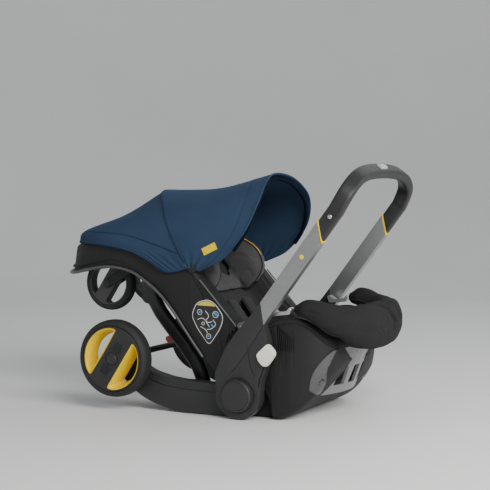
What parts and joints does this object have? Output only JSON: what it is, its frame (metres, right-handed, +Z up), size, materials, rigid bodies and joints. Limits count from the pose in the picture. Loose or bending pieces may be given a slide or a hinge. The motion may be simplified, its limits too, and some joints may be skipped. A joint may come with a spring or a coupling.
{
  "type": "infant car seat with folding wheels",
  "caption": "Rear-facing infant car seat with canopy, padded liner, tilting telescopic handle and a wheeled leg frame folded under its shell.",
  "frame": {"origin": "on the flat underside of the shell, straight below the hub axis", "axes": "+X to the foot end, +Y to the child's left, +Z up"},
  "size_m": [0.7303, 0.44, 0.5215],
  "materials": {
    "belt_guide_left": "brushed silver-grey",
    "belt_guide_right": "brushed silver-grey",
    "brake_pedal": "red plastic",
    "buckle": "matte black plastic",
    "buckle_button": "red plastic",
    "canopy_bow": "matte black plastic",
    "canopy_front": "slate-blue woven fabric",
    "canopy_rear": "slate-blue woven fabric",
    "caster_fork_left": "matte black plastic",
    "caster_fork_right": "matte black plastic",
    "crotch_strap": "black webbing",
    "fold_rod": "plain steel",
    "foot_bumper": "dark charcoal woven fabric",
    "foot_guard": "satin grey plastic",
    "front_frame": "satin moulded charcoal plastic",
    "front_rim_left": "matte black plastic",
    "front_rim_right": "matte black plastic",
    "front_tyre_left": "matte black rubber",
    "front_tyre_right": "matte black rubber",
    "grip": "matte black plastic",
    "grip_button": "satin grey plastic",
    "grip_pin_left": "brushed silver-grey",
    "grip_pin_right": "brushed silver-grey",
    "handle_arm_left": "satin moulded charcoal plastic",
    "handle_arm_right": "satin moulded charcoal plastic",
    "handle_bar_left": "brushed silver-grey",
    "handle_bar_right": "brushed silver-grey",
    "handle_dot_left": "bright yellow plastic",
    "handle_dot_right": "bright yellow plastic",
    "handle_ring_left": "bright yellow plastic",
    "handle_ring_right": "bright yellow plastic",
    "handle_tab_left": "cream plastic",
    "handle_tab_right": "cream plastic",
    "harness_left": "black webbing",
    "harness_right": "black webbing",
    "head_pillow": "dark charcoal woven fabric",
    "hub_cap_left": "satin moulded charcoal plastic",
    "hub_cap_right": "satin moulded charcoal plastic",
    "label_left": "plain printed film",
    "label_right": "plain printed film",
    "rear_axle": "plain steel",
    "rear_cap_left": "matte black plastic",
    "rear_cap_right": "matte black plastic",
    "rear_dish_left": "bright yellow plastic",
    "rear_dish_right": "bright yellow plastic",
    "rear_leg_left": "satin moulded charcoal plastic",
    "rear_leg_right": "satin moulded charcoal plastic",
    "rear_rim_left": "matte black plastic",
    "rear_rim_right": "matte black plastic",
    "rear_tyre_left": "matte black rubber",
    "rear_tyre_right": "matte black rubber",
    "release_lever": "satin grey plastic",
    "rim_strip_left": "brushed silver-grey",
    "rim_strip_right": "brushed silver-grey",
    "seat_liner": "dark charcoal woven fabric",
    "seat_pad": "dark charcoal woven fabric",
    "seat_shell": "satin moulded charcoal plastic",
    "shell_lip": "satin moulded charcoal plastic",
    "shoulder_pad_left": "dark charcoal woven fabric",
    "shoulder_pad_right": "dark charcoal woven fabric"
  },
  "bodies": {
    "seat": {"seat_shell": "seat_shell", "shell_lip": "shell_lip", "foot_guard": "foot_guard", "seat_liner": "seat_liner", "head_pillow": "head_pillow", "seat_pad": "seat_pad", "foot_bumper": "foot_bumper", "harness_right": "harness_right", "harness_left": "harness_left", "shoulder_pad_right": "shoulder_pad_right", "shoulder_pad_left": "shoulder_pad_left", "crotch_strap": "crotch_strap", "buckle": "buckle", "belt_guide_right": "belt_guide_right", "belt_guide_left": "belt_guide_left", "rim_strip_right": "rim_strip_right", "rim_strip_left": "rim_strip_left", "label_right": "label_right", "label_left": "label_left", "canopy_rear": "canopy_rear"},
    "buckle_button": {"buckle_button": "buckle_button"},
    "release_lever": {"release_lever": "release_lever"},
    "canopy": {"canopy_front": "canopy_front", "canopy_bow": "canopy_bow"},
    "handle": {"handle_arm_right": "handle_arm_right", "handle_arm_left": "handle_arm_left", "handle_bar_right": "handle_bar_right", "handle_bar_left": "handle_bar_left", "handle_ring_right": "handle_ring_right", "handle_ring_left": "handle_ring_left", "handle_dot_right": "handle_dot_right", "handle_dot_left": "handle_dot_left", "hub_cap_right": "hub_cap_right", "hub_cap_left": "hub_cap_left"},
    "grip": {"grip": "grip"},
    "grip_button": {"grip_button": "grip_button"},
    "rear_legs": {"rear_leg_right": "rear_leg_right", "rear_leg_left": "rear_leg_left", "rear_axle": "rear_axle", "fold_rod": "fold_rod"},
    "brake": {"brake_pedal": "brake_pedal"},
    "front_legs": {"front_frame": "front_frame"},
    "handle_tab_right": {"handle_tab_right": "handle_tab_right"},
    "grip_pin_right": {"grip_pin_right": "grip_pin_right"},
    "rear_wheel_right": {"rear_tyre_right": "rear_tyre_right", "rear_rim_right": "rear_rim_right", "rear_dish_right": "rear_dish_right", "rear_cap_right": "rear_cap_right"},
    "caster_right": {"caster_fork_right": "caster_fork_right"},
    "front_wheel_right": {"front_tyre_right": "front_tyre_right", "front_rim_right": "front_rim_right"},
    "handle_tab_left": {"handle_tab_left": "handle_tab_left"},
    "grip_pin_left": {"grip_pin_left": "grip_pin_left"},
    "rear_wheel_left": {"rear_tyre_left": "rear_tyre_left", "rear_rim_left": "rear_rim_left", "rear_dish_left": "rear_dish_left", "rear_cap_left": "rear_cap_left"},
    "caster_left": {"caster_fork_left": "caster_fork_left"},
    "front_wheel_left": {"front_tyre_left": "front_tyre_left", "front_rim_left": "front_rim_left"}
  },
  "joints": [
    {"name": "handle_tilt", "type": "hinge", "parent": "seat", "child": "handle", "pos_m": [0, 0, 0.05], "axis": [0, -1, 0], "range_deg": [-15, 37]},
    {"name": "grip_slide", "type": "slide", "parent": "handle", "child": "grip", "axis": [0.5976, 0, 0.8018], "range_m": [0, 0.17]},
    {"name": "grip_button_press", "type": "slide", "parent": "grip", "child": "grip_button", "axis": [-0.5976, 0, -0.8018], "range_m": [0, 0.003], "stiffness_N_per_m": 600},
    {"name": "leg_fold", "type": "hinge", "parent": "seat", "child": "rear_legs", "pos_m": [0, 0, 0.05], "axis": [0, -1, 0], "range_deg": [0, 100]},
    {"name": "front_fold", "type": "hinge", "parent": "rear_legs", "child": "front_legs", "pos_m": [-0.125, 0, 0.04], "axis": [0, -1, 0], "range_deg": [-21.25, 0]},
    {"name": "brake_press", "type": "hinge", "parent": "rear_legs", "child": "brake", "pos_m": [-0.283, 0, 0.111], "axis": [0, -1, 0], "range_deg": [0, 18]},
    {"name": "canopy_fold", "type": "hinge", "parent": "seat", "child": "canopy", "pos_m": [-0.118, 0, 0.305], "axis": [0, -1, 0], "range_deg": [0, 60], "deforming": ["canopy_front"]},
    {"name": "buckle_press", "type": "slide", "parent": "seat", "child": "buckle_button", "axis": [0, 0, -1], "range_m": [0, 0.002], "stiffness_N_per_m": 800},
    {"name": "lever_pull", "type": "hinge", "parent": "seat", "child": "release_lever", "pos_m": [-0.424, 0, 0.298], "axis": [0, -1, 0], "range_deg": [0, 12], "stiffness_Nm_per_rad": 0.8},
    {"name": "tab_press_right", "type": "slide", "parent": "handle", "child": "handle_tab_right", "axis": [0, 1, 0], "range_m": [0, 0.002], "stiffness_N_per_m": 900},
    {"name": "pin_press_right", "type": "slide", "parent": "grip", "child": "grip_pin_right", "axis": [0, 1, 0], "range_m": [0, 0.0015], "stiffness_N_per_m": 500},
    {"name": "rear_wheel_spin_right", "type": "hinge", "parent": "rear_legs", "child": "rear_wheel_right", "pos_m": [-0.283, -0.2, 0.111], "axis": [0, 1, 0], "continuous": true},
    {"name": "caster_swivel_right", "type": "hinge", "parent": "front_legs", "child": "caster_right", "pos_m": [-0.28886, -0.094, 0.30202], "axis": [0.981, 0, 0.194], "range_deg": [-8, 8]},
    {"name": "front_wheel_spin_right", "type": "hinge", "parent": "caster_right", "child": "front_wheel_right", "pos_m": [-0.357, -0.094, 0.26], "axis": [0, 1, 0], "continuous": true},
    {"name": "tab_press_left", "type": "slide", "parent": "handle", "child": "handle_tab_left", "axis": [0, -1, 0], "range_m": [0, 0.002], "stiffness_N_per_m": 900},
    {"name": "pin_press_left", "type": "slide", "parent": "grip", "child": "grip_pin_left", "axis": [0, -1, 0], "range_m": [0, 0.0015], "stiffness_N_per_m": 500},
    {"name": "rear_wheel_spin_left", "type": "hinge", "parent": "rear_legs", "child": "rear_wheel_left", "pos_m": [-0.283, 0.2, 0.111], "axis": [0, 1, 0], "continuous": true},
    {"name": "caster_swivel_left", "type": "hinge", "parent": "front_legs", "child": "caster_left", "pos_m": [-0.28886, 0.094, 0.30202], "axis": [0.981, 0, 0.194], "range_deg": [-8, 8]},
    {"name": "front_wheel_spin_left", "type": "hinge", "parent": "caster_left", "child": "front_wheel_left", "pos_m": [-0.357, 0.094, 0.26], "axis": [0, 1, 0], "continuous": true}
  ],
  "couplings": [
    {"joint": "front_fold", "follows": "leg_fold", "ratio": -0.212}
  ]
}
